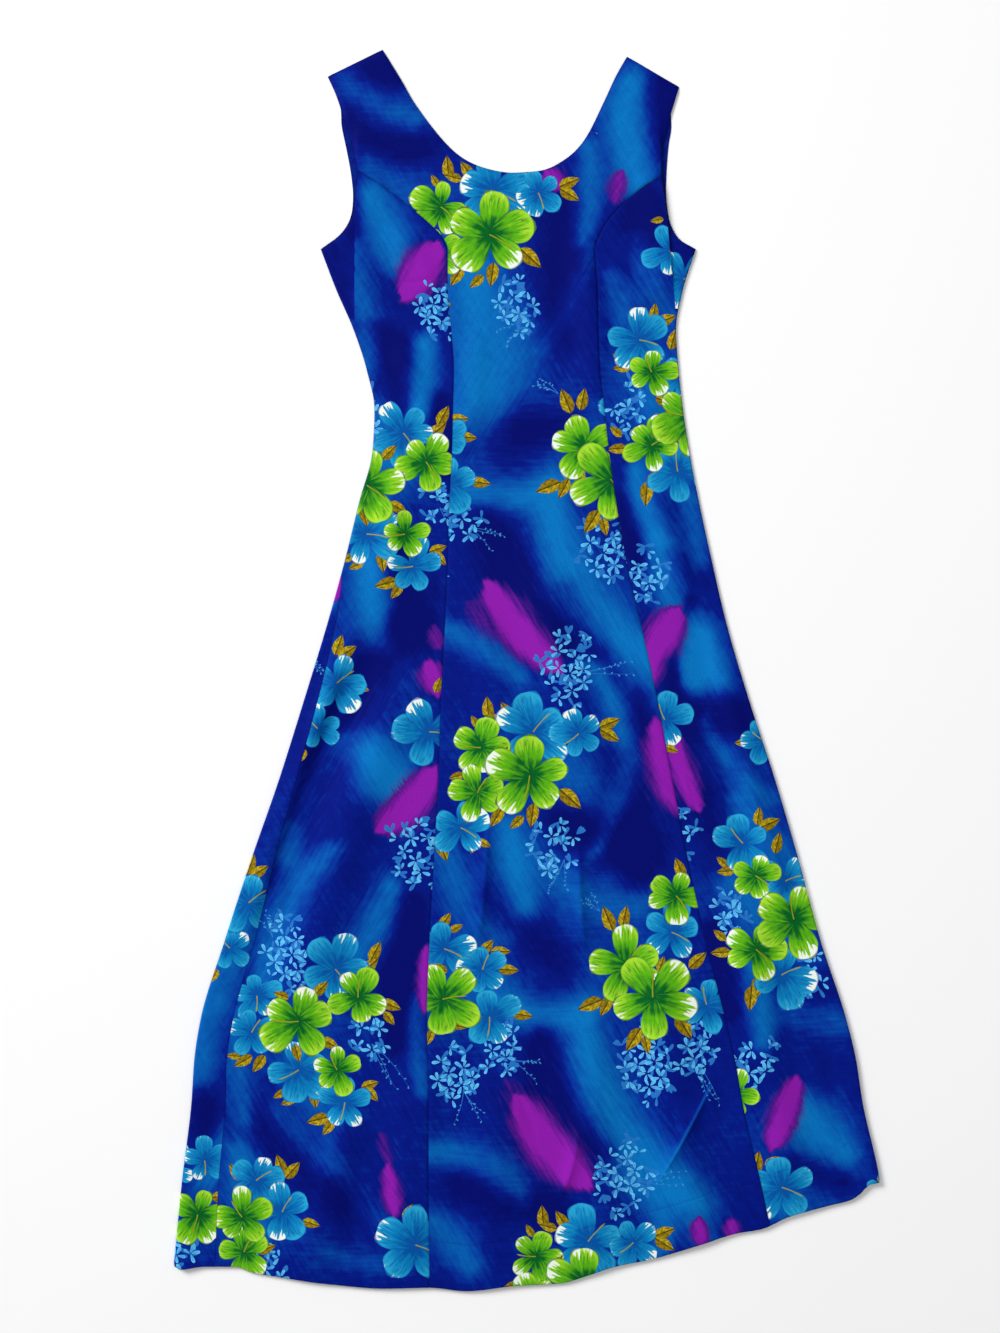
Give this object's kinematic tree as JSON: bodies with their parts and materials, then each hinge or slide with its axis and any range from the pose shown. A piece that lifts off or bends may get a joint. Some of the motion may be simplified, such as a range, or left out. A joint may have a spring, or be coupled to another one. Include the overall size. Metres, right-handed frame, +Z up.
{
  "type": "hawaiian maxi dress",
  "caption": "Long sleeveless fitted and flared dress with a scoop neck and princess seams, in printed cotton, laid flat on its back.",
  "frame": {"origin": "on the surface the dress lies on, under the middle of its bounding box", "axes": "+Y from the hem to the neck, +X to the viewer's right, +Z up out of the dress's front"},
  "size_m": [0.811, 1.426, 0.0131],
  "materials": {
    "printed_cotton": "matt to softly lustrous woven cotton, screen printed with flowers over a brushed blue ground"
  },
  "bodies": {
    "root": {"front_centre": "printed_cotton", "side_front_left": "printed_cotton", "side_front_right": "printed_cotton", "back_left": "printed_cotton", "back_right": "printed_cotton"}
  },
  "joints": []
}
